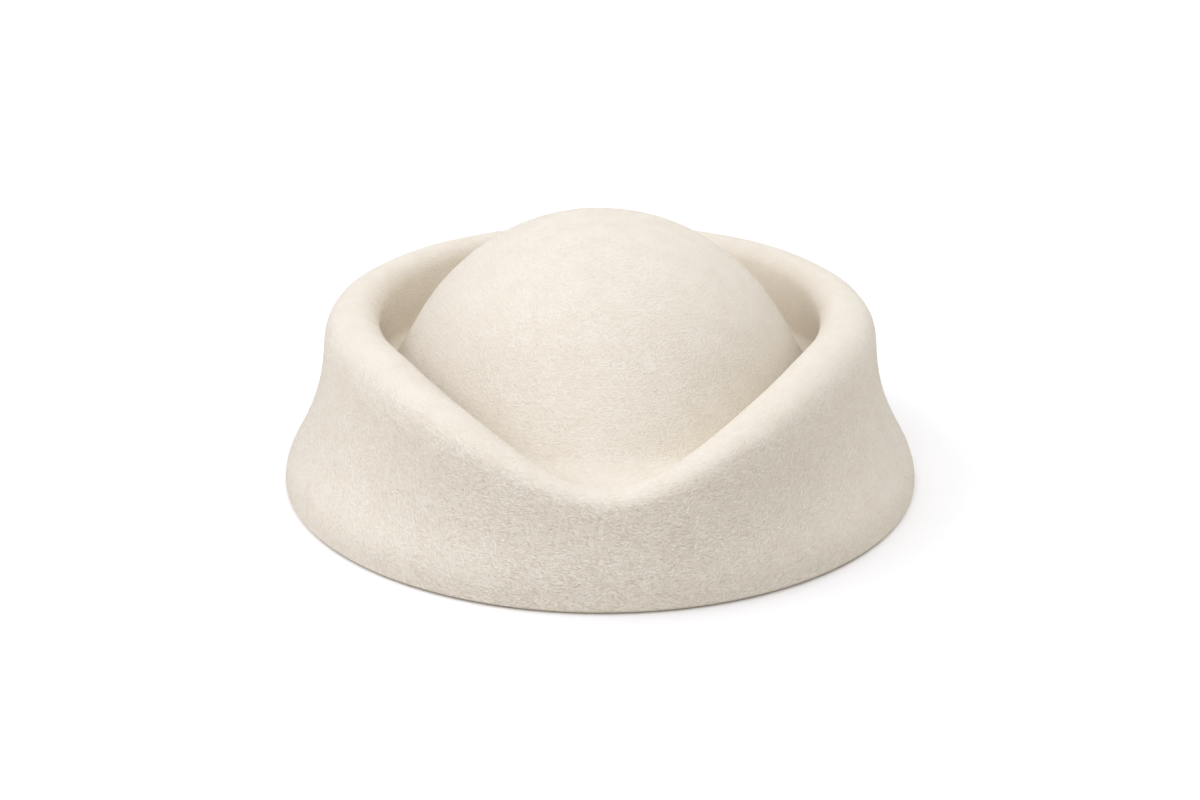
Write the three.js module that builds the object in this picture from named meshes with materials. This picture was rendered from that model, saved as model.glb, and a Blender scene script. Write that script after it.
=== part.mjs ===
// Pillbox hat, blocked from one piece of felt: a domed crown inside a raised collar.
// The collar's rim is rolled and dips to a V in front, and its skirt flares to the hem.
// Millimetres, +Z up. The front looks along -Y, and the hem stands on the plane z = 0.

import * as THREE from 'three';

// Felt sheet
const FELT_THICKNESS = 2.5;
const FELT_COLOR = 0xede4d5;
const FELT_ROUGHNESS = 0.95;

// Hem: an oval that is longer from front to back than across, as a head is
const HEM_HALF_WIDTH = 88;
const LENGTH_TO_WIDTH = 1.145;
const HEM_STRIP_HEIGHT = 1.5;

// Crown: a round dome, then a straight side that runs down into the trough
const DOME_RADIUS = 58.4;
const DOME_TOP = 74;

// Upright sections of the hat, from the front (azimuth 0 degrees) round to the back (180).
// Both halves are alike. Radii are measured across, before the oval's stretch.
//   side    length of the crown's straight side
//   trough  height of the lowest line between crown and collar
//   bend    radius of the trough's floor
//   reach   largest radius of the collar's rim
//   crest   height of the rim
//   roll    radius of the rim's roll
//   lean    degrees by which the outer face draws in below the rim
//   waist   height where the skirt starts to flare, by a hollow arc and then a full one
//   full    the full arc's share of the sum of their radii
const COLUMNS = ['side', 'trough', 'bend', 'reach', 'crest', 'roll', 'lean', 'waist', 'full'];
const SECTIONS = [
  { azimuth: 0, sizes: [23.5, 28.9, 12.0, 86.0, 30.5, 4.4, 0, 21.0, 0.70] },
  { azimuth: 10, sizes: [24.0, 28.6, 8.0, 85.6, 34.1, 5.2, 2.5, 21.5, 0.62] },
  { azimuth: 20, sizes: [23.0, 28.5, 4.8, 84.3, 40.3, 6.6, 5.5, 25.0, 0.46] },
  { azimuth: 35, sizes: [20.5, 28.0, 2.4, 81.5, 47.1, 8.0, 8, 32.0, 0.34] },
  { azimuth: 55, sizes: [18.8, 26.2, 2.0, 77.7, 51.2, 8.4, 8, 38.0, 0.28] },
  { azimuth: 80, sizes: [18.4, 25.8, 2.4, 76.3, 50.8, 8.2, 0, 41.5, 0.19] },
  { azimuth: 120, sizes: [18.2, 26.2, 3.0, 75.8, 48.4, 5.6, 0, 41.0, 0.18] },
  { azimuth: 180, sizes: [17.5, 27.2, 3.6, 76.4, 46.8, 4.0, 0, 39.6, 0.18] },
];

// Facets: steps round the hat, and along each stretch of the profile
const AZIMUTH_STEPS = 72;
const STEPS = { dome: 11, side: 2, trough: 6, wall: 2, rim: 8, face: 1, waist: 4, hem: 3 };

const OUTWARD = 0;
const DOWNWARD = -Math.PI / 2;

const sectionCurve = new THREE.CubicInterpolant(
  SECTIONS.map((row) => row.azimuth),
  SECTIONS.flatMap((row) => row.sizes),
  COLUMNS.length,
);
sectionCurve.settings = {
  endingStart: THREE.ZeroSlopeEnding,
  endingEnd: THREE.ZeroSlopeEnding,
};

// The hat's sizes at any azimuth, on a smooth curve through the table's rows.
function sectionAt(azimuthDegrees) {
  const values = sectionCurve.evaluate(Math.abs(azimuthDegrees));
  return Object.fromEntries(COLUMNS.map((column, i) => [column, values[i]]));
}

// A point of a profile arc, where x is the radius and y the height. The heading is the angle
// of travel along the profile, and the felt's outer side lies to the left of it. A full
// bend has a positive radius and a hollow one a negative radius. Depth goes into the felt.
function arcPoint(arc, heading, depth) {
  const offset = arc.radius - depth;
  return new THREE.Vector2(
    arc.centre.x - offset * Math.sin(heading),
    arc.centre.y + offset * Math.cos(heading),
  );
}

// The heading of the straight line that leaves one arc and meets the next without a corner.
function tangentHeading(from, to) {
  const span = new THREE.Vector2().subVectors(to.centre, from.centre);
  return Math.atan2(span.y, span.x) - Math.asin((from.radius - to.radius) / span.length());
}

// The arcs of one upright section, from the dome's top down to the hem. Each arc starts
// at the end of a straight lead of so many steps from the arc before it.
function profileArcs(section) {
  const dome = { centre: new THREE.Vector2(0, DOME_TOP - DOME_RADIUS), radius: DOME_RADIUS };

  const troughCentreHeight = section.trough + section.bend;
  const domeToTrough = Math.hypot(DOME_RADIUS + section.bend, section.side);
  const troughRise = troughCentreHeight - dome.centre.y;
  const troughCentreRadius = Math.sqrt(domeToTrough ** 2 - troughRise ** 2);
  const trough = {
    centre: new THREE.Vector2(troughCentreRadius, troughCentreHeight),
    radius: -section.bend,
  };

  const rim = {
    centre: new THREE.Vector2(section.reach - section.roll, section.crest - section.roll),
    radius: section.roll,
  };

  // Below the rim the outer face runs straight down to the waist.
  const lean = THREE.MathUtils.degToRad(section.lean);
  const faceHeading = DOWNWARD - lean;
  const faceTop = arcPoint(rim, faceHeading, 0);
  const waistReach = faceTop.x - (faceTop.y - section.waist) * Math.tan(lean);

  // The flare turns outward by the waist's arc, then back to upright by the hem's arc.
  const flare = new THREE.Vector2(HEM_HALF_WIDTH - waistReach, HEM_STRIP_HEIGHT - section.waist);
  const hemRatio = section.full / (1 - section.full);
  const along = flare.x * Math.cos(faceHeading) + flare.y * (Math.sin(faceHeading) - hemRatio);
  const flareTurn = Math.acos(along / (flare.length() * (1 + hemRatio)));
  const flareHeading = Math.atan2(flare.y, flare.x) + flareTurn;
  const sweep = (1 + hemRatio) * Math.sin(flareHeading) - Math.sin(faceHeading) + hemRatio;
  const waistRadius = flare.x / sweep;
  const hemRadius = hemRatio * waistRadius;
  const waist = {
    centre: new THREE.Vector2(
      waistReach - waistRadius * Math.sin(faceHeading),
      section.waist + waistRadius * Math.cos(faceHeading),
    ),
    radius: -waistRadius,
  };
  const hem = {
    centre: new THREE.Vector2(HEM_HALF_WIDTH - hemRadius, HEM_STRIP_HEIGHT),
    radius: hemRadius,
  };

  const sideHeading = tangentHeading(dome, trough);
  const wallHeading = tangentHeading(trough, rim);
  return [
    { ...dome, start: OUTWARD, end: sideHeading, lead: 0, steps: STEPS.dome },
    { ...trough, start: sideHeading, end: wallHeading, lead: STEPS.side, steps: STEPS.trough },
    { ...rim, start: wallHeading, end: faceHeading, lead: STEPS.wall, steps: STEPS.rim },
    { ...waist, start: faceHeading, end: flareHeading, lead: STEPS.face, steps: STEPS.waist },
    { ...hem, start: flareHeading, end: DOWNWARD, lead: 0, steps: STEPS.hem },
  ];
}

// The points of one section at a depth below the felt's outer side. The first is the dome's
// top, on the axis, and the last stands on z = 0.
function profilePoints(section, depth) {
  const points = [new THREE.Vector2(0, DOME_TOP - depth)];
  for (const arc of profileArcs(section)) {
    const leadStart = points.at(-1);
    const leadEnd = arcPoint(arc, arc.start, depth);
    for (let i = 1; i <= arc.lead; i += 1) {
      points.push(leadStart.clone().lerp(leadEnd, i / arc.lead));
    }
    for (let i = 1; i <= arc.steps; i += 1) {
      const heading = THREE.MathUtils.lerp(arc.start, arc.end, i / arc.steps);
      points.push(arcPoint(arc, heading, depth));
    }
  }
  points.push(new THREE.Vector2(points.at(-1).x, 0));
  return points;
}

// A section of the whole wall: down its outer side, across the hem and back up its inner side.
function wallSection(azimuthDegrees) {
  const section = sectionAt(azimuthDegrees);
  const outer = profilePoints(section, 0);
  const inner = profilePoints(section, FELT_THICKNESS);
  return [...outer, ...inner.reverse()];
}

// The wall's sections, turned round the hat and joined by facets into one closed shell.
function feltGeometry() {
  const positions = [];
  for (let i = 0; i < AZIMUTH_STEPS; i += 1) {
    const azimuth = (360 * i) / AZIMUTH_STEPS;
    const across = Math.sin(THREE.MathUtils.degToRad(azimuth));
    const forward = Math.cos(THREE.MathUtils.degToRad(azimuth));
    const section = wallSection(azimuth > 180 ? azimuth - 360 : azimuth);
    const first = i === 0 ? 0 : 1;
    const last = i === 0 ? section.length : section.length - 1;
    for (const point of section.slice(first, last)) {
      positions.push(point.x * across, -point.x * forward * LENGTH_TO_WIDTH, point.y);
    }
  }

  // The first and last points of every section are the dome's top and its underside.
  const ringCount = wallSection(0).length - 2;
  const vertexAt = (azimuthIndex, ring) => {
    if (ring < 0) {
      return 0;
    }
    if (ring === ringCount) {
      return ringCount + 1;
    }
    const turn = azimuthIndex % AZIMUTH_STEPS;
    return turn === 0 ? 1 + ring : 2 + turn * ringCount + ring;
  };

  const triangles = [];
  for (let i = 0; i < AZIMUTH_STEPS; i += 1) {
    for (let ring = -1; ring < ringCount; ring += 1) {
      const near = vertexAt(i, ring);
      const nearNext = vertexAt(i, ring + 1);
      const farNext = vertexAt(i + 1, ring + 1);
      const far = vertexAt(i + 1, ring);
      if (nearNext !== farNext) {
        triangles.push(near, nearNext, farNext);
      }
      if (near !== far) {
        triangles.push(near, farNext, far);
      }
    }
  }

  const geometry = new THREE.BufferGeometry();
  geometry.setAttribute('position', new THREE.Float32BufferAttribute(positions, 3));
  geometry.setIndex(triangles);
  geometry.computeVertexNormals();
  return geometry;
}

const felt = new THREE.MeshStandardMaterial({
  color: FELT_COLOR,
  roughness: FELT_ROUGHNESS,
  metalness: 0,
});

const feltBody = new THREE.Mesh(feltGeometry(), felt);
feltBody.name = 'felt_body';

const hat = new THREE.Group();
hat.name = 'pillbox_hat';
hat.add(feltBody);

export default hat;
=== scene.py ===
"""Pillbox hat of cream wool felt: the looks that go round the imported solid.

The blocked felt is a rounded, slightly uneven copy of the solid, and a nap of short
fibres lies over its outer side. The hat stands on a white table under soft studio light.
Lengths are in metres unless a name ends in _mm. The hat's front looks along -Y.
"""

import logging
import math
from dataclasses import dataclass
from enum import Enum
from typing import Any

import bmesh
import bpy
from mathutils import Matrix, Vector


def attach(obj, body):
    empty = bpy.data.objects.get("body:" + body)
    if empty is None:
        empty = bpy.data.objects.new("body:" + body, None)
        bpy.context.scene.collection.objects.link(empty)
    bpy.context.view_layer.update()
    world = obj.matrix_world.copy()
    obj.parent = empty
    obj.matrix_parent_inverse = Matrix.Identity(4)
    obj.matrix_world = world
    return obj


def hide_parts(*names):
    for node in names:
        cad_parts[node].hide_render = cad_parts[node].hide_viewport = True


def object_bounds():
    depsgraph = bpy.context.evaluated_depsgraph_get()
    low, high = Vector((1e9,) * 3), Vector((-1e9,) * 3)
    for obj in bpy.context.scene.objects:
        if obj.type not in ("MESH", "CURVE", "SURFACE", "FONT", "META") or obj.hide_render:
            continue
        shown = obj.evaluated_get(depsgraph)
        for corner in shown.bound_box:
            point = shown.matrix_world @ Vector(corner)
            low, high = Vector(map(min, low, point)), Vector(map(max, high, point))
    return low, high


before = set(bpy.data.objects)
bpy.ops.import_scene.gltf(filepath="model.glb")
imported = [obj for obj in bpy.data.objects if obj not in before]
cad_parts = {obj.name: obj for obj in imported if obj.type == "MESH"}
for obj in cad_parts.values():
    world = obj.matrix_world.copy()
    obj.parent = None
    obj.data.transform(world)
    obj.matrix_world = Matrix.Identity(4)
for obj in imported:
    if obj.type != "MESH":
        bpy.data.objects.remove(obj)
CAD_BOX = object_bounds()

LOG = logging.getLogger("pillbox_hat")
BODY = "root"
FELT_NODE = "felt_body"
MM = 0.001

# The solid stands round the origin, so this corner holds its half width, half length and height.
FAR_CORNER = tuple(CAD_BOX[1])

NEUTRAL_WHITE = "F3F6FF"
COOL_WHITE = "EBEEFF"


def linear_color(hex_color: str) -> tuple[float, float, float, float]:
    """Turn an sRGB colour into the linear one that shaders take.

    Args:
        hex_color: The colour as six hex digits, red first.

    Returns:
        Linear red, green and blue, and an alpha of one.
    """
    levels = [int(hex_color[i : i + 2], 16) / 255 for i in (0, 2, 4)]
    linear = [c / 12.92 if c <= 0.04045 else ((c + 0.055) / 1.055) ** 2.4 for c in levels]
    return (*linear, 1.0)


def add_node(
    tree: bpy.types.NodeTree, kind: str, inputs: dict | None = None, **settings: Any
) -> bpy.types.Node:
    """Add one node with its settings, values and links.

    Args:
        tree: The tree that gets the node.
        kind: Blender's name for the kind of node.
        inputs: For each input, by name or number, its value, or the node or output that feeds it.
        **settings: The node's own options.

    Returns:
        The new node.
    """
    node = tree.nodes.new(kind)
    for option, value in settings.items():
        setattr(node, option, value)
    for key, value in (inputs or {}).items():
        named = [socket for socket in node.inputs if socket.enabled and socket.name == key]
        socket = named[0] if named else node.inputs[key]
        if isinstance(value, bpy.types.Node):
            value = next(output for output in value.outputs if output.enabled)
        if isinstance(value, bpy.types.NodeSocket):
            tree.links.new(value, socket)
        else:
            socket.default_value = value
    return node


def source_range(ends: tuple[float, float]) -> dict[str, float]:
    """Name the two ends of the range that a Map Range node reads."""
    return {"From Min": ends[0], "From Max": ends[1]}


def new_material(name: str) -> tuple[bpy.types.Material, bpy.types.NodeTree]:
    """Make an empty node material.

    Args:
        name: The material's name.

    Returns:
        The material and its cleared node tree.
    """
    material = bpy.data.materials.new(name)
    material.use_nodes = True
    material.node_tree.nodes.clear()
    return material, material.node_tree


def new_geometry_tree(name: str, sockets: dict[str, str]) -> bpy.types.GeometryNodeTree:
    """Make a Geometry Nodes tree that takes and gives a mesh.

    Args:
        name: The tree's name.
        sockets: Names of the further inputs, each with its socket type.

    Returns:
        The tree, with its input and output declared.
    """
    tree = bpy.data.node_groups.new(name, "GeometryNodeTree")
    tree.interface.new_socket("Geometry", in_out="INPUT", socket_type="NodeSocketGeometry")
    for label, kind in sockets.items():
        tree.interface.new_socket(label, in_out="INPUT", socket_type=f"NodeSocket{kind}")
    tree.interface.new_socket("Geometry", in_out="OUTPUT", socket_type="NodeSocketGeometry")
    return tree


def place_shares(
    tree: bpy.types.GeometryNodeTree, far_corner: bpy.types.NodeSocket
) -> tuple[bpy.types.NodeOutputs, bpy.types.NodeSocket]:
    """Add each point's place as shares of the hat's half width, half length and height.

    Args:
        tree: The Geometry Nodes tree.
        far_corner: The far corner of the solid's box.

    Returns:
        The shares X, Y and Z, and the radius as a share of the hem's oval.
    """
    position = add_node(tree, "GeometryNodeInputPosition")
    share = add_node(
        tree, "ShaderNodeVectorMath", {0: position, 1: far_corner}, operation="DIVIDE"
    )
    axes = add_node(tree, "ShaderNodeSeparateXYZ", {0: share}).outputs
    level = add_node(tree, "ShaderNodeCombineXYZ", {"X": axes["X"], "Y": axes["Y"]})
    radius = add_node(tree, "ShaderNodeVectorMath", {0: level}, operation="LENGTH")
    return axes, radius.outputs["Value"]


def mesh_from_tree(
    source: bpy.types.Object, tree: bpy.types.GeometryNodeTree, values: dict[str, Any]
) -> bpy.types.Mesh:
    """Run a tree on an object and keep the result as a plain mesh.

    Args:
        source: The object that the tree starts from. It is left as it was.
        tree: The Geometry Nodes tree.
        values: The tree's inputs by name.

    Returns:
        The finished mesh.
    """
    modifier = source.modifiers.new(tree.name, "NODES")
    modifier.node_group = tree
    for socket in tree.interface.items_tree:
        if socket.in_out == "INPUT" and socket.name in values:
            modifier[socket.identifier] = values[socket.name]
    evaluated = source.evaluated_get(bpy.context.evaluated_depsgraph_get())
    mesh = bpy.data.meshes.new_from_object(evaluated)
    source.modifiers.remove(modifier)
    return mesh


def new_object(name: str, data: bpy.types.ID) -> bpy.types.Object:
    """Put a new object into the scene, at the origin.

    Args:
        name: The object's name.
        data: Its mesh, light or camera.

    Returns:
        The object.
    """
    made = bpy.data.objects.new(name, data)
    bpy.context.scene.collection.objects.link(made)
    return made


@dataclass(frozen=True)
class BlockedWoolFelt:
    """Wool felt, blocked and brushed."""

    pale: str = "ECE3D1"
    deep: str = "E3D7C1"
    roughness: float = 0.95
    wool_ior: float = 1.55
    sheen: float = 0.15
    sheen_roughness: float = 0.5

    # A wool fibre is about 0.02 mm thick, too fine to show, so clumps of fibres are drawn
    # instead. Smearing them along the lay makes tufts two to three times as long as wide.
    clump_mm: float = 0.38
    clump_octaves: float = 2.0
    clump_roughness: float = 0.8
    clump_spread: float = 0.3
    smear_step_mm: float = 0.16
    smear_samples: int = 5
    tuft_height_mm: float = 0.55
    flat_relief: float = 0.15
    # Strength of the painted light and shade on the tufts: tops paler, gaps darker.
    tuft_shading: float = 4.2

    # The tone drifts over several millimetres, as the wool lies thicker or thinner.
    mottle_mm: float = 7.0
    mottle_octaves: float = 3.0

    def tufts(self, tree: bpy.types.NodeTree, place: bpy.types.NodeSocket) -> bpy.types.Node:
        """Add the height of the matted tufts, smeared along the lay of the fibres.

        Args:
            tree: The material's tree.
            place: The object coordinates.

        Returns:
            The node that gives the height, mostly between -0.5 and 0.5 of the tufts' full height.
        """
        lay = add_node(tree, "ShaderNodeAttribute", attribute_name="lay").outputs["Vector"]
        total = None
        for i in range(self.smear_samples):
            step = (i - (self.smear_samples - 1) / 2) * self.smear_step_mm * MM
            along = add_node(
                tree,
                "ShaderNodeVectorMath",
                {0: lay, 1: (step, step, step), 2: place},
                operation="MULTIPLY_ADD",
            )
            grain = add_node(
                tree,
                "ShaderNodeTexNoise",
                {
                    "Vector": along,
                    "Scale": 1 / (self.clump_mm * MM),
                    "Detail": self.clump_octaves,
                    "Roughness": self.clump_roughness,
                },
            )
            total = add_node(
                tree,
                "ShaderNodeMath",
                {0: grain.outputs[0], 1: total if total else 0.0},
                operation="ADD",
            )
        mean = self.smear_samples / 2
        ends = (mean * (1 - self.clump_spread), mean * (1 + self.clump_spread))
        return add_node(
            tree,
            "ShaderNodeMapRange",
            {"Value": total, **source_range(ends), "To Min": -0.5, "To Max": 0.5},
            clamp=False,
        )

    def material(self) -> bpy.types.Material:
        """Build the felt's shader.

        Returns:
            The material.
        """
        # Blocked wool felt is cream and matte, and its matted tufts catch the light from above.
        material, tree = new_material("blocked_wool_felt")
        place = add_node(tree, "ShaderNodeTexCoord").outputs["Object"]
        tufts = self.tufts(tree, place)
        mottle = add_node(
            tree,
            "ShaderNodeTexNoise",
            {"Vector": place, "Scale": 1 / (self.mottle_mm * MM), "Detail": self.mottle_octaves},
        )
        loft = add_node(tree, "ShaderNodeAttribute", attribute_name="loft").outputs["Fac"]

        # Painted light and shade: where the pile is full, the tufts' tops are painted paler and
        # their gaps darker, standing in for the relief's own light and shade.
        painted_tuft_shading = add_node(
            tree, "ShaderNodeMath", {0: tufts, 1: self.tuft_shading}, operation="MULTIPLY"
        )
        tuft_shading_and_mottle = add_node(
            tree,
            "ShaderNodeMath",
            {0: painted_tuft_shading, 1: loft, 2: mottle.outputs[0]},
            operation="MULTIPLY_ADD",
        )
        color = add_node(
            tree,
            "ShaderNodeMix",
            {"Factor": tuft_shading_and_mottle, "A": linear_color(self.deep), "B": linear_color(self.pale)},
            data_type="RGBA",
            clamp_factor=False,
        )
        rise = add_node(
            tree,
            "ShaderNodeMath",
            {0: loft, 1: 1 - self.flat_relief, 2: self.flat_relief},
            operation="MULTIPLY_ADD",
        )
        height = add_node(tree, "ShaderNodeMath", {0: tufts, 1: rise}, operation="MULTIPLY")
        relief = add_node(
            tree, "ShaderNodeBump", {"Height": height, "Distance": self.tuft_height_mm * MM}
        )
        felt = add_node(
            tree,
            "ShaderNodeBsdfPrincipled",
            {
                "Base Color": color,
                "Normal": relief,
                "Roughness": self.roughness,
                "IOR": self.wool_ior,
                "Sheen Weight": self.sheen,
                "Sheen Roughness": self.sheen_roughness,
                "Sheen Tint": linear_color(self.pale),
            },
        )
        add_node(tree, "ShaderNodeOutputMaterial", {"Surface": felt})
        return material


@dataclass(frozen=True)
class WoolFibre:
    """Loose wool that stands off the felt."""

    pale: str = "EEE5D4"
    deep: str = "E3D7C1"
    roughness: float = 0.9
    wool_ior: float = 1.55

    def material(self) -> bpy.types.Material:
        """Build the fibres' shader.

        Returns:
            The material.
        """
        # Loose wool is dry, paler than the felt, and lighter or darker from fibre to fibre.
        material, tree = new_material("loose_wool_fibre")
        shade = add_node(tree, "ShaderNodeAttribute", attribute_name="shade").outputs["Fac"]
        color = add_node(
            tree,
            "ShaderNodeMix",
            {"Factor": shade, "A": linear_color(self.deep), "B": linear_color(self.pale)},
            data_type="RGBA",
        )
        wool = add_node(
            tree,
            "ShaderNodeBsdfPrincipled",
            {"Base Color": color, "Roughness": self.roughness, "IOR": self.wool_ior},
        )
        add_node(tree, "ShaderNodeOutputMaterial", {"Surface": wool})
        return material


@dataclass
class FeltShell:
    """The blocked felt: the solid's form, rounded, and as uneven as hands leave it.

    A facing is the cosine of the angle between the felt's normal and a direction. Shares are
    parts of the hem's oval, or of the hat's half length.
    """

    # The solid's facets, taken over as quads
    merge_mm: float = 0.001
    join_limit_deg: float = 80.0
    flat_edge_mm: float = 0.01
    subdivisions: int = 2

    # Long waves from the block and small lumps from the wool, none at the hem
    wave_length_mm: float = 26.0
    wave_height_mm: float = 0.5
    lump_length_mm: float = 5.0
    lump_height_mm: float = 0.05
    uneven_octaves: float = 1.0
    level_hem_mm: float = 6.0

    # The outer corner of the hem's cut edge
    edge_height_mm: float = 1.8
    edge_lift_mm: float = 0.75
    edge_facing_out: tuple[float, float] = (-0.3, 0.6)

    # The way that the fibres lie
    swirl_mm: float = 3.0
    swirl_octaves: float = 2.0
    swirl_deg: float = 150.0
    side_turn_deg: float = 55.0

    # How full the pile is
    top_loft: float = 0.18
    slope_loft: float = 0.45
    side_pile: float = 0.35
    slope_facing_up: tuple[float, float] = (1.0, 0.4)
    slope_facing_out: tuple[float, float] = (-0.2, 0.2)
    collar_radius: tuple[float, float] = (0.80, 0.88)
    collar_facing_up: tuple[float, float] = (0.9, 0.1)
    front_share: tuple[float, float] = (-0.4, -1.0)

    def quads(self) -> bpy.types.Mesh:
        """Copy the solid's facets as quads, and mark the felt's outer side.

        Returns:
            A closed mesh with the face attribute outer_side.
        """
        net = bmesh.new()
        net.from_mesh(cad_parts[FELT_NODE].data)
        bmesh.ops.remove_doubles(net, verts=net.verts, dist=self.merge_mm * MM)
        limit = math.radians(self.join_limit_deg)
        bmesh.ops.join_triangles(
            net, faces=net.faces, angle_face_threshold=limit, angle_shape_threshold=limit
        )

        # The outer side is what can be reached from the crown's top without crossing the
        # hem's flat edge.
        outer = net.faces.layers.bool.new("outer_side")
        top = max(net.verts, key=lambda vert: vert.co.z)
        reached = list(top.link_faces)
        for face in reached:
            face[outer] = True
        while reached:
            for edge in reached.pop().edges:
                for face in edge.link_faces:
                    height = max(vert.co.z for vert in face.verts)
                    if not face[outer] and height > self.flat_edge_mm * MM:
                        face[outer] = True
                        reached.append(face)
        mesh = bpy.data.meshes.new("felt_quads")
        net.to_mesh(mesh)
        net.free()
        mesh.materials.clear()
        return mesh

    def facing_out(self, tree: bpy.types.GeometryNodeTree) -> bpy.types.Node:
        """Add how far the felt faces away from the hat's axis.

        Args:
            tree: The felt's tree.

        Returns:
            The node that gives 1 outwards, 0 upwards and -1 inwards.
        """
        position = add_node(tree, "GeometryNodeInputPosition")
        level = add_node(
            tree, "ShaderNodeVectorMath", {0: position, 1: (1.0, 1.0, 0.0)}, operation="MULTIPLY"
        )
        outward = add_node(tree, "ShaderNodeVectorMath", {0: level}, operation="NORMALIZE")
        normal = add_node(tree, "GeometryNodeInputNormal")
        return add_node(
            tree, "ShaderNodeVectorMath", {0: normal, 1: outward}, operation="DOT_PRODUCT"
        )

    def add_waves(
        self, tree: bpy.types.GeometryNodeTree, given: bpy.types.NodeOutputs, mesh: bpy.types.Node
    ) -> bpy.types.Node:
        """Make the felt uneven, but leave the hem flat on the table.

        Args:
            tree: The felt's tree.
            given: The tree's inputs.
            mesh: The node that gives the mesh.

        Returns:
            The node that gives the uneven mesh.
        """
        swell = None
        for length, depth in (("Wave Length", "Wave Height"), ("Lump Length", "Lump Height")):
            scale = add_node(tree, "ShaderNodeMath", {0: 1.0, 1: given[length]}, operation="DIVIDE")
            noise = add_node(
                tree, "ShaderNodeTexNoise", {"Scale": scale, "Detail": self.uneven_octaves}
            )
            centred = add_node(
                tree, "ShaderNodeMath", {0: noise.outputs[0], 1: 0.5}, operation="SUBTRACT"
            )
            swell = add_node(
                tree,
                "ShaderNodeMath",
                {0: centred, 1: given[depth], 2: swell if swell else 0.0},
                operation="MULTIPLY_ADD",
            )
        position = add_node(tree, "GeometryNodeInputPosition")
        height = add_node(tree, "ShaderNodeSeparateXYZ", {0: position}).outputs["Z"]
        free = add_node(
            tree,
            "ShaderNodeMapRange",
            {"Value": height, "From Max": given["Level Hem"]},
            interpolation_type="SMOOTHSTEP",
        )
        lift = add_node(tree, "ShaderNodeMath", {0: swell, 1: free}, operation="MULTIPLY")
        normal = add_node(tree, "GeometryNodeInputNormal")
        shift = add_node(
            tree, "ShaderNodeVectorMath", {0: normal, "Scale": lift}, operation="SCALE"
        )
        return add_node(tree, "GeometryNodeSetPosition", {"Geometry": mesh, "Offset": shift})

    def add_edge(
        self, tree: bpy.types.GeometryNodeTree, given: bpy.types.NodeOutputs, mesh: bpy.types.Node
    ) -> bpy.types.Node:
        """Raise the outer corner of the hem's cut edge clear of the table.

        Args:
            tree: The felt's tree.
            given: The tree's inputs.
            mesh: The node that gives the mesh.

        Returns:
            The node that gives the mesh with the raised corner.
        """
        outer_corner = add_node(
            tree,
            "ShaderNodeMapRange",
            {"Value": self.facing_out(tree), **source_range(self.edge_facing_out)},
        )
        position = add_node(tree, "GeometryNodeInputPosition")
        height = add_node(tree, "ShaderNodeSeparateXYZ", {0: position}).outputs["Z"]
        low = add_node(
            tree,
            "ShaderNodeMapRange",
            {"Value": height, "From Min": given["Edge Height"], "From Max": 0.0},
            interpolation_type="SMOOTHSTEP",
        )
        corner = add_node(tree, "ShaderNodeMath", {0: outer_corner, 1: low}, operation="MULTIPLY")
        raised = add_node(
            tree, "ShaderNodeMath", {0: corner, 1: given["Edge Lift"]}, operation="MULTIPLY"
        )
        upward = add_node(tree, "ShaderNodeCombineXYZ", {"Z": raised})
        return add_node(tree, "GeometryNodeSetPosition", {"Geometry": mesh, "Offset": upward})

    def add_lay(
        self, tree: bpy.types.GeometryNodeTree, given: bpy.types.NodeOutputs, mesh: bpy.types.Node
    ) -> bpy.types.Node:
        """Give the fibres a lay: level in front, upright towards the sides, swirled all over.

        Args:
            tree: The felt's tree.
            given: The tree's inputs.
            mesh: The node that gives the mesh.

        Returns:
            The node that gives the mesh with the attribute lay.
        """
        normal = add_node(tree, "GeometryNodeInputNormal")
        level = add_node(
            tree, "ShaderNodeVectorMath", {0: (0.0, 0.0, 1.0), 1: normal}, operation="CROSS_PRODUCT"
        )
        scale = add_node(
            tree, "ShaderNodeMath", {0: 1.0, 1: given["Swirl Length"]}, operation="DIVIDE"
        )
        swirl = add_node(tree, "ShaderNodeTexNoise", {"Scale": scale, "Detail": self.swirl_octaves})
        swing = add_node(
            tree, "ShaderNodeMath", {0: swirl.outputs[0], 1: 0.5}, operation="SUBTRACT"
        )
        axes, _ = place_shares(tree, given["Far Corner"])
        side_turn = add_node(
            tree, "ShaderNodeMath", {0: axes["X"], 1: given["Side Turn"]}, operation="MULTIPLY"
        )
        turn = add_node(
            tree,
            "ShaderNodeMath",
            {0: swing, 1: given["Swirl Turn"], 2: side_turn},
            operation="MULTIPLY_ADD",
        )
        turned = add_node(
            tree, "ShaderNodeVectorRotate", {"Vector": level, "Axis": normal, "Angle": turn}
        )
        lay = add_node(tree, "ShaderNodeVectorMath", {0: turned}, operation="NORMALIZE")
        return add_node(
            tree,
            "GeometryNodeStoreNamedAttribute",
            {"Geometry": mesh, "Name": "lay", "Value": lay},
            data_type="FLOAT_VECTOR",
            domain="POINT",
        )

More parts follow.
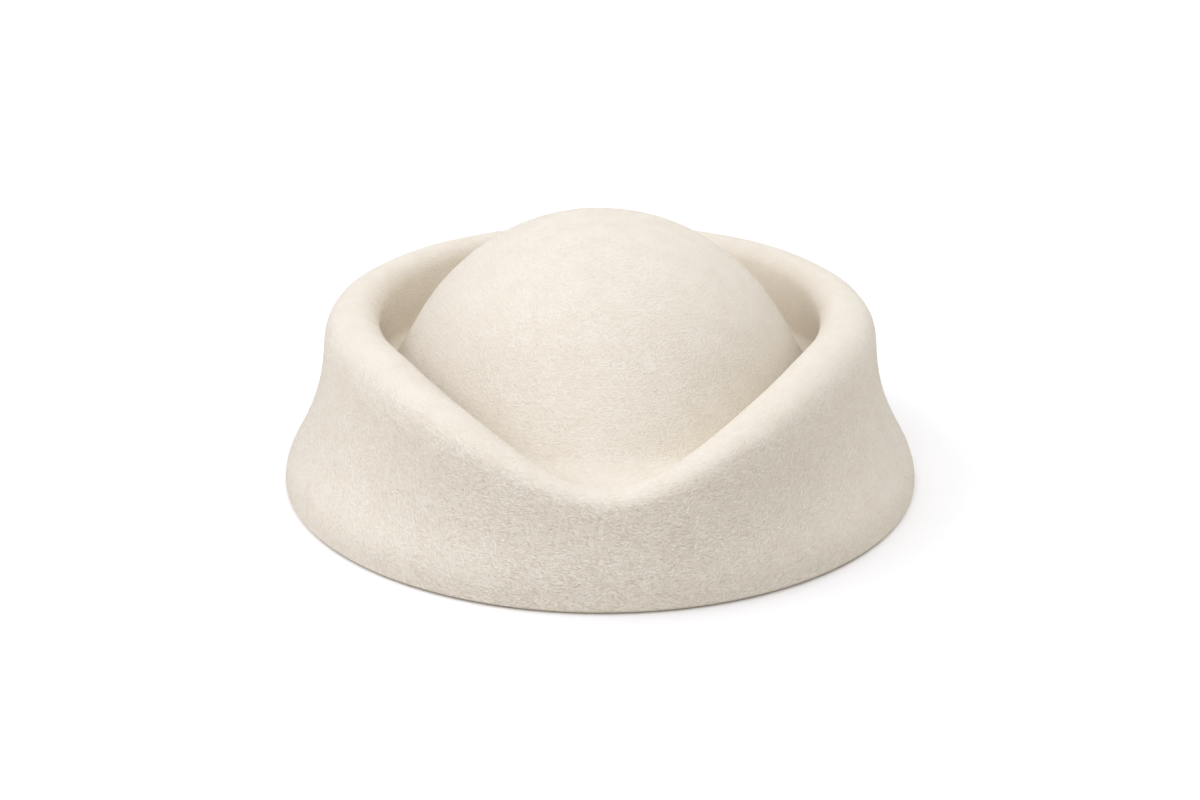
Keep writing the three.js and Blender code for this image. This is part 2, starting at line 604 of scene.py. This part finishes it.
    def add_loft(
        self, tree: bpy.types.GeometryNodeTree, given: bpy.types.NodeOutputs, mesh: bpy.types.Node
    ) -> bpy.types.Node:
        """Say how full the pile is.

        The crown's top, the rim's top and the collar's inner wall are pressed smoothest. Outer
        slopes keep more pile, and the collar's outside has most, above all in front.

        Args:
            tree: The felt's tree.
            given: The tree's inputs.
            mesh: The node that gives the mesh.

        Returns:
            The node that gives the mesh with the attribute loft.
        """
        axes, radius = place_shares(tree, given["Far Corner"])
        normal = add_node(tree, "GeometryNodeInputNormal")
        facing_up = add_node(tree, "ShaderNodeSeparateXYZ", {0: normal}).outputs["Z"]
        steep = add_node(
            tree, "ShaderNodeMapRange", {"Value": facing_up, **source_range(self.slope_facing_up)}
        )
        outer = add_node(
            tree,
            "ShaderNodeMapRange",
            {"Value": self.facing_out(tree), **source_range(self.slope_facing_out)},
        )
        slope = add_node(tree, "ShaderNodeMath", {0: steep, 1: outer}, operation="MULTIPLY")
        slope_loft = add_node(
            tree,
            "ShaderNodeMix",
            {"Factor": slope, "A": given["Top Loft"], "B": given["Slope Loft"]},
        )
        outside = add_node(
            tree,
            "ShaderNodeMapRange",
            {"Value": radius, **source_range(self.collar_radius)},
            interpolation_type="SMOOTHSTEP",
        )
        upright = add_node(
            tree,
            "ShaderNodeMapRange",
            {"Value": facing_up, **source_range(self.collar_facing_up)},
            interpolation_type="SMOOTHSTEP",
        )
        forward = add_node(
            tree,
            "ShaderNodeMapRange",
            {"Value": axes["Y"], **source_range(self.front_share), "To Min": given["Side Pile"]},
            interpolation_type="SMOOTHSTEP",
        )
        collar = add_node(tree, "ShaderNodeMath", {0: outside, 1: upright}, operation="MULTIPLY")
        pile = add_node(tree, "ShaderNodeMath", {0: collar, 1: forward}, operation="MULTIPLY")
        loft = add_node(tree, "ShaderNodeMix", {"Factor": pile, "A": slope_loft, "B": 1.0})
        return add_node(
            tree,
            "GeometryNodeStoreNamedAttribute",
            {"Geometry": mesh, "Name": "loft", "Value": loft},
            data_type="FLOAT",
            domain="POINT",
        )

    def tree(self) -> bpy.types.GeometryNodeTree:
        """Build the tree that rounds the facets, makes them uneven and describes the pile.

        Returns:
            The Geometry Nodes tree.
        """
        tree = new_geometry_tree(
            "felt_shell",
            {
                "Subdivisions": "Int",
                "Wave Length": "Float",
                "Wave Height": "Float",
                "Lump Length": "Float",
                "Lump Height": "Float",
                "Level Hem": "Float",
                "Edge Height": "Float",
                "Edge Lift": "Float",
                "Swirl Length": "Float",
                "Swirl Turn": "Float",
                "Side Turn": "Float",
                "Far Corner": "Vector",
                "Top Loft": "Float",
                "Slope Loft": "Float",
                "Side Pile": "Float",
                "Felt": "Material",
            },
        )
        given = add_node(tree, "NodeGroupInput").outputs
        mesh = add_node(
            tree,
            "GeometryNodeSubdivisionSurface",
            {"Mesh": given["Geometry"], "Level": given["Subdivisions"]},
        )
        for step in (self.add_waves, self.add_edge, self.add_lay, self.add_loft):
            mesh = step(tree, given, mesh)
        smooth = add_node(tree, "GeometryNodeSetShadeSmooth", {"Geometry": mesh})
        whole = add_node(tree, "GeometryNodeRealizeInstances", {"Geometry": smooth})
        dressed = add_node(
            tree, "GeometryNodeSetMaterial", {"Geometry": whole, "Material": given["Felt"]}
        )
        add_node(tree, "NodeGroupOutput", {"Geometry": dressed})
        return tree

    def build(self, felt: bpy.types.Material) -> bpy.types.Object:
        """Make the felt and let it stand for the solid.

        Args:
            felt: The felt's material.

        Returns:
            The finished piece.
        """
        rough = new_object("felt_quads", self.quads())
        mesh = mesh_from_tree(
            rough,
            self.tree(),
            {
                "Subdivisions": self.subdivisions,
                "Wave Length": self.wave_length_mm * MM,
                "Wave Height": self.wave_height_mm * MM,
                "Lump Length": self.lump_length_mm * MM,
                "Lump Height": self.lump_height_mm * MM,
                "Level Hem": self.level_hem_mm * MM,
                "Edge Height": self.edge_height_mm * MM,
                "Edge Lift": self.edge_lift_mm * MM,
                "Swirl Length": self.swirl_mm * MM,
                "Swirl Turn": math.radians(2 * self.swirl_deg),
                "Side Turn": math.radians(self.side_turn_deg),
                "Far Corner": FAR_CORNER,
                "Top Loft": self.top_loft,
                "Slope Loft": self.slope_loft,
                "Side Pile": self.side_pile,
                "Felt": felt,
            },
        )
        bpy.data.objects.remove(rough)
        piece = new_object("felt_shell", mesh)
        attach(piece, BODY)
        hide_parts(FELT_NODE)
        return piece


class NapZone(Enum):
    """Parts of the outer side: least and greatest radius, height and backward place, as shares."""

    CROWN = ((0.0, 0.70), (0.0, 1.0), (-1.0, 1.0))
    COLLAR = ((0.70, 1.1), (0.42, 1.0), (-1.0, 1.0))
    FRONT_SKIRT = ((0.70, 1.1), (0.03, 0.42), (-1.0, 0.0))
    BACK_SKIRT = ((0.70, 1.1), (0.03, 0.42), (0.0, 1.0))


class ChanceSeed(Enum):
    """Seeds for what differs from fibre to fibre."""

    YAW = 1
    PITCH = 2
    LENGTH = 3
    SHADE = 4


@dataclass
class FeltNap:
    """Loose fibres that lie nearly flat on the felt's outer side.

    Real fibres are finer and closer together than a picture shows, so each of these stands
    for a few of them.
    """

    zone: NapZone
    fibres_per_mm2: float = 1.5
    length_mm: float = 1.3
    length_spread: float = 0.4
    width_mm: float = 0.08
    smooth_width: float = 0.4
    arch_mm: float = 0.02
    sink_mm: float = 0.03
    lay_spread_deg: float = 45.0
    tilt_deg: float = 14.0
    seed: int = 7

    def fibre(self) -> bpy.types.Object:
        """Make one fibre as a thin three-sided spindle, arched in the middle.

        Returns:
            The fibre along +X, with its underside towards -Z.
        """
        half, thick = self.length_mm / 2 * MM, self.width_mm / 2 * MM
        low, high = -self.sink_mm * MM, self.arch_mm * MM
        corners = [math.radians(degrees) for degrees in (90, 210, 330)]
        ring = [(0.0, math.cos(a) * thick, math.sin(a) * thick + high) for a in corners]
        points = [(-half, 0.0, low), *ring, (half, 0.0, low + high)]
        sides = ((1, 2), (2, 3), (3, 1))
        faces = [(0, near, far) for near, far in sides] + [(4, far, near) for near, far in sides]
        mesh = bpy.data.meshes.new("fibre")
        mesh.from_pydata(points, [], faces)
        return new_object("fibre", mesh)

    def in_zone(
        self, tree: bpy.types.GeometryNodeTree, given: bpy.types.NodeOutputs
    ) -> bpy.types.Node:
        """Add the test for what lies in the zone, on the felt's outer side.

        Args:
            tree: The nap's tree.
            given: The tree's inputs.

        Returns:
            The node that gives true inside the zone.
        """
        axes, radius = place_shares(tree, given["Far Corner"])
        least = add_node(tree, "ShaderNodeSeparateXYZ", {0: given["Least"]})
        greatest = add_node(tree, "ShaderNodeSeparateXYZ", {0: given["Greatest"]})
        inside = add_node(
            tree, "GeometryNodeInputNamedAttribute", {"Name": "outer_side"}, data_type="BOOLEAN"
        )
        for i, value in enumerate((radius, axes["Z"], axes["Y"])):
            above = add_node(tree, "FunctionNodeCompare", {"A": value, "B": least.outputs[i]})
            below = add_node(tree, "FunctionNodeCompare", {"A": greatest.outputs[i], "B": value})
            both = add_node(tree, "FunctionNodeBooleanMath", {0: above, 1: below})
            inside = add_node(tree, "FunctionNodeBooleanMath", {0: inside, 1: both})
        return inside

    def turn(
        self,
        tree: bpy.types.GeometryNodeTree,
        given: bpy.types.NodeOutputs,
        normal: bpy.types.NodeSocket,
    ) -> bpy.types.Node:
        """Turn each fibre along the felt's lay, off by a chance angle, its free end a little up.

        Args:
            tree: The nap's tree.
            given: The tree's inputs.
            normal: The felt's normal under each fibre.

        Returns:
            The node that gives the rotation.
        """
        lay = add_node(
            tree, "GeometryNodeInputNamedAttribute", {"Name": "lay"}, data_type="FLOAT_VECTOR"
        )
        laid = add_node(
            tree,
            "FunctionNodeAxesToRotation",
            {"Primary Axis": normal, "Secondary Axis": lay},
            primary_axis="Z",
            secondary_axis="X",
        )
        least_yaw, least_pitch = (
            add_node(tree, "ShaderNodeMath", {0: given[label], 1: -1.0}, operation="MULTIPLY")
            for label in ("Lay Spread", "Tilt")
        )
        yaw = add_node(
            tree,
            "FunctionNodeRandomValue",
            {"Min": least_yaw, "Max": given["Lay Spread"], "Seed": ChanceSeed.YAW.value},
        )
        pitch = add_node(
            tree,
            "FunctionNodeRandomValue",
            {"Min": least_pitch, "Max": 0.0, "Seed": ChanceSeed.PITCH.value},
        )
        own_angles = add_node(tree, "ShaderNodeCombineXYZ", {"Y": pitch, "Z": yaw})
        own_turn = add_node(tree, "FunctionNodeEulerToRotation", {0: own_angles})
        return add_node(
            tree,
            "FunctionNodeRotateRotation",
            {"Rotation": laid, "Rotate By": own_turn},
            rotation_space="LOCAL",
        )

    def size(
        self, tree: bpy.types.GeometryNodeTree, given: bpy.types.NodeOutputs
    ) -> bpy.types.Node:
        """Make the fibres differ in length, and thinner where the felt is pressed smooth.

        Args:
            tree: The nap's tree.
            given: The tree's inputs.

        Returns:
            The node that gives the scale.
        """
        shortest, longest = (
            add_node(tree, "ShaderNodeMath", {0: 1.0, 1: given["Length Spread"]}, operation=way)
            for way in ("SUBTRACT", "ADD")
        )
        length = add_node(
            tree,
            "FunctionNodeRandomValue",
            {"Min": shortest, "Max": longest, "Seed": ChanceSeed.LENGTH.value},
        )
        loft = add_node(
            tree, "GeometryNodeInputNamedAttribute", {"Name": "loft"}, data_type="FLOAT"
        )
        width = add_node(
            tree, "ShaderNodeMix", {"Factor": loft, "A": given["Smooth Width"], "B": 1.0}
        )
        return add_node(tree, "ShaderNodeCombineXYZ", {"X": length, "Y": width, "Z": width})

    def tree(self) -> bpy.types.GeometryNodeTree:
        """Build the tree that lays fibres over one zone of the felt.

        Returns:
            The Geometry Nodes tree.
        """
        tree = new_geometry_tree(
            "felt_nap",
            {
                "Fibre": "Object",
                "Density": "Float",
                "Far Corner": "Vector",
                "Least": "Vector",
                "Greatest": "Vector",
                "Length Spread": "Float",
                "Smooth Width": "Float",
                "Lay Spread": "Float",
                "Tilt": "Float",
                "Seed": "Int",
                "Wool": "Material",
            },
        )
        given = add_node(tree, "NodeGroupInput").outputs
        points = add_node(
            tree,
            "GeometryNodeDistributePointsOnFaces",
            {
                "Mesh": given["Geometry"],
                "Selection": self.in_zone(tree, given),
                "Density": given["Density"],
                "Seed": given["Seed"],
            },
        ).outputs
        shade = add_node(
            tree,
            "FunctionNodeRandomValue",
            {"Min": 0.0, "Max": 1.0, "Seed": ChanceSeed.SHADE.value},
        )
        shaded = add_node(
            tree,
            "GeometryNodeStoreNamedAttribute",
            {"Geometry": points["Points"], "Name": "shade", "Value": shade},
            data_type="FLOAT",
            domain="POINT",
        )
        fibre = add_node(tree, "GeometryNodeObjectInfo", {"Object": given["Fibre"]})
        fibres = add_node(
            tree,
            "GeometryNodeInstanceOnPoints",
            {
                "Points": shaded,
                "Instance": fibre.outputs["Geometry"],
                "Rotation": self.turn(tree, given, points["Normal"]),
                "Scale": self.size(tree, given),
            },
        )
        whole = add_node(tree, "GeometryNodeRealizeInstances", {"Geometry": fibres})
        smooth = add_node(tree, "GeometryNodeSetShadeSmooth", {"Geometry": whole})
        dressed = add_node(
            tree, "GeometryNodeSetMaterial", {"Geometry": smooth, "Material": given["Wool"]}
        )
        add_node(tree, "NodeGroupOutput", {"Geometry": dressed})
        return tree

    def build(self, shell: bpy.types.Object, wool: bpy.types.Material) -> bpy.types.Object:
        """Lay the fibres over the zone.

        Args:
            shell: The felt that they lie on.
            wool: The fibres' material.

        Returns:
            The finished piece.
        """
        fibre = self.fibre()
        least, greatest = zip(*self.zone.value)
        mesh = mesh_from_tree(
            shell,
            self.tree(),
            {
                "Fibre": fibre,
                "Density": self.fibres_per_mm2 / MM**2,
                "Far Corner": FAR_CORNER,
                "Least": least,
                "Greatest": greatest,
                "Length Spread": self.length_spread,
                "Smooth Width": self.smooth_width,
                "Lay Spread": math.radians(self.lay_spread_deg),
                "Tilt": math.radians(self.tilt_deg),
                "Seed": self.seed,
                "Wool": wool,
            },
        )
        bpy.data.objects.remove(fibre)
        piece = new_object(f"{self.zone.name.lower()}_nap", mesh)
        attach(piece, BODY)
        return piece


@dataclass(frozen=True)
class Softbox:
    """One square lamp with a diffuser."""

    name: str
    place: tuple[float, float, float]
    side: float
    watts: float
    color: str = NEUTRAL_WHITE


@dataclass(frozen=True)
class OpalAcrylic:
    """Opal acrylic sheet with a painted glow that rises with distance from the hat."""

    white: str = "F9F6F0"
    roughness: float = 0.9
    near_glow: float = 0.03
    far_glow: float = 0.6
    glow_reach: tuple[float, float] = (0.4, 1.4)

    def material(self) -> bpy.types.Material:
        """Build the sheet's shader.

        Returns:
            The material.
        """
        # Opal acrylic is matte white. Its glow is painted light: faint near the hat, so the contact
        # shadow stays, and rising with distance so the far table reads white.
        material, tree = new_material("opal_acrylic")
        place = add_node(tree, "ShaderNodeTexCoord").outputs["Object"]
        reach = add_node(tree, "ShaderNodeVectorMath", {0: place}, operation="LENGTH")
        glow = add_node(
            tree,
            "ShaderNodeMapRange",
            {
                "Value": reach.outputs["Value"],
                **source_range(self.glow_reach),
                "To Min": self.near_glow,
                "To Max": self.far_glow,
            },
            interpolation_type="SMOOTHSTEP",
        )
        acrylic = add_node(
            tree,
            "ShaderNodeBsdfPrincipled",
            {
                "Base Color": linear_color(self.white),
                "Roughness": self.roughness,
                "Emission Color": linear_color(self.white),
                "Emission Strength": glow,
            },
        )
        add_node(tree, "ShaderNodeOutputMaterial", {"Surface": acrylic})
        return material


@dataclass
class Studio:
    """The white table, the lamps and the camera."""

    azimuth_deg: float = -1.2
    elevation_deg: float = 20.15
    distance: float = 0.93
    lens_mm: float = 100.0
    sensor_mm: float = 36.0
    target_share: float = 0.288
    table_half_side: float = 3.0
    room_white: str = NEUTRAL_WHITE
    sky: float = 0.55
    lamps: tuple[Softbox, ...] = (
        Softbox("front_top_lamp", (0.0, -0.9, 1.0), 0.9, 7.3),
        Softbox("back_top_lamp", (0.0, 0.9, 1.0), 0.9, 3.1),
        Softbox("right_back_lamp", (0.9, 0.9, 0.8), 0.9, 6.2),
        Softbox("left_top_lamp", (-0.9, 0.0, 1.0), 0.9, 7.0, COOL_WHITE),
        Softbox("left_front_lamp", (-0.9, -0.9, 0.6), 0.8, 2.9, COOL_WHITE),
    )

    def build_table(self, acrylic: bpy.types.Material) -> None:
        """Lay the table top.

        Args:
            acrylic: The table's material.
        """
        half = self.table_half_side
        corners = [(-half, -half, 0.0), (half, -half, 0.0), (half, half, 0.0), (-half, half, 0.0)]
        mesh = bpy.data.meshes.new("table")
        mesh.from_pydata(corners, [], [(0, 1, 2, 3)])
        mesh.materials.append(acrylic)
        new_object("table", mesh)

    def build_light(self) -> None:
        """Hang the lamps and set the room's even light."""
        world = bpy.data.worlds.new("studio")
        bpy.context.scene.world = world
        world.use_nodes = True
        background = world.node_tree.nodes["Background"].inputs
        background["Color"].default_value = linear_color(self.room_white)
        background["Strength"].default_value = self.sky
        aim = (CAD_BOX[0] + CAD_BOX[1]) / 2
        for lamp in self.lamps:
            light = bpy.data.lights.new(lamp.name, "AREA")
            light.size = lamp.side
            light.energy = lamp.watts
            light.color = linear_color(lamp.color)[:3]
            made = new_object(lamp.name, light)
            made.location = lamp.place
            made.rotation_euler = (aim - Vector(lamp.place)).to_track_quat("-Z", "Y").to_euler()

    def build_camera(self) -> None:
        """Place the camera at the photograph's angle."""
        data = bpy.data.cameras.new("camera")
        data.lens = self.lens_mm
        data.sensor_width = self.sensor_mm
        camera = new_object("camera", data)
        turn, rise = math.radians(self.azimuth_deg), math.radians(self.elevation_deg)
        level = math.cos(rise)
        back = Vector((math.sin(turn) * level, -math.cos(turn) * level, math.sin(rise)))
        target = Vector((0.0, 0.0, self.target_share * CAD_BOX[1].z))
        camera.location = target + back * self.distance
        camera.rotation_euler = (-back).to_track_quat("-Z", "Y").to_euler()
        bpy.context.scene.camera = camera

    def build(self, acrylic: bpy.types.Material) -> None:
        """Set up the whole studio.

        Args:
            acrylic: The table's material.
        """
        bpy.context.scene.view_settings.view_transform = "Standard"
        self.build_table(acrylic)
        self.build_light()
        self.build_camera()


def main() -> None:
    """Build the hat, then the studio round it."""
    logging.basicConfig(level=logging.INFO, format="%(name)s: %(message)s")
    shell = FeltShell().build(BlockedWoolFelt().material())
    LOG.info("%s: %d faces", shell.name, len(shell.data.polygons))
    wool = WoolFibre().material()
    for zone in NapZone:
        nap = FeltNap(zone).build(shell, wool)
        LOG.info("%s: %d faces", nap.name, len(nap.data.polygons))
    Studio().build(OpalAcrylic().material())


if __name__ == "__main__":
    main()
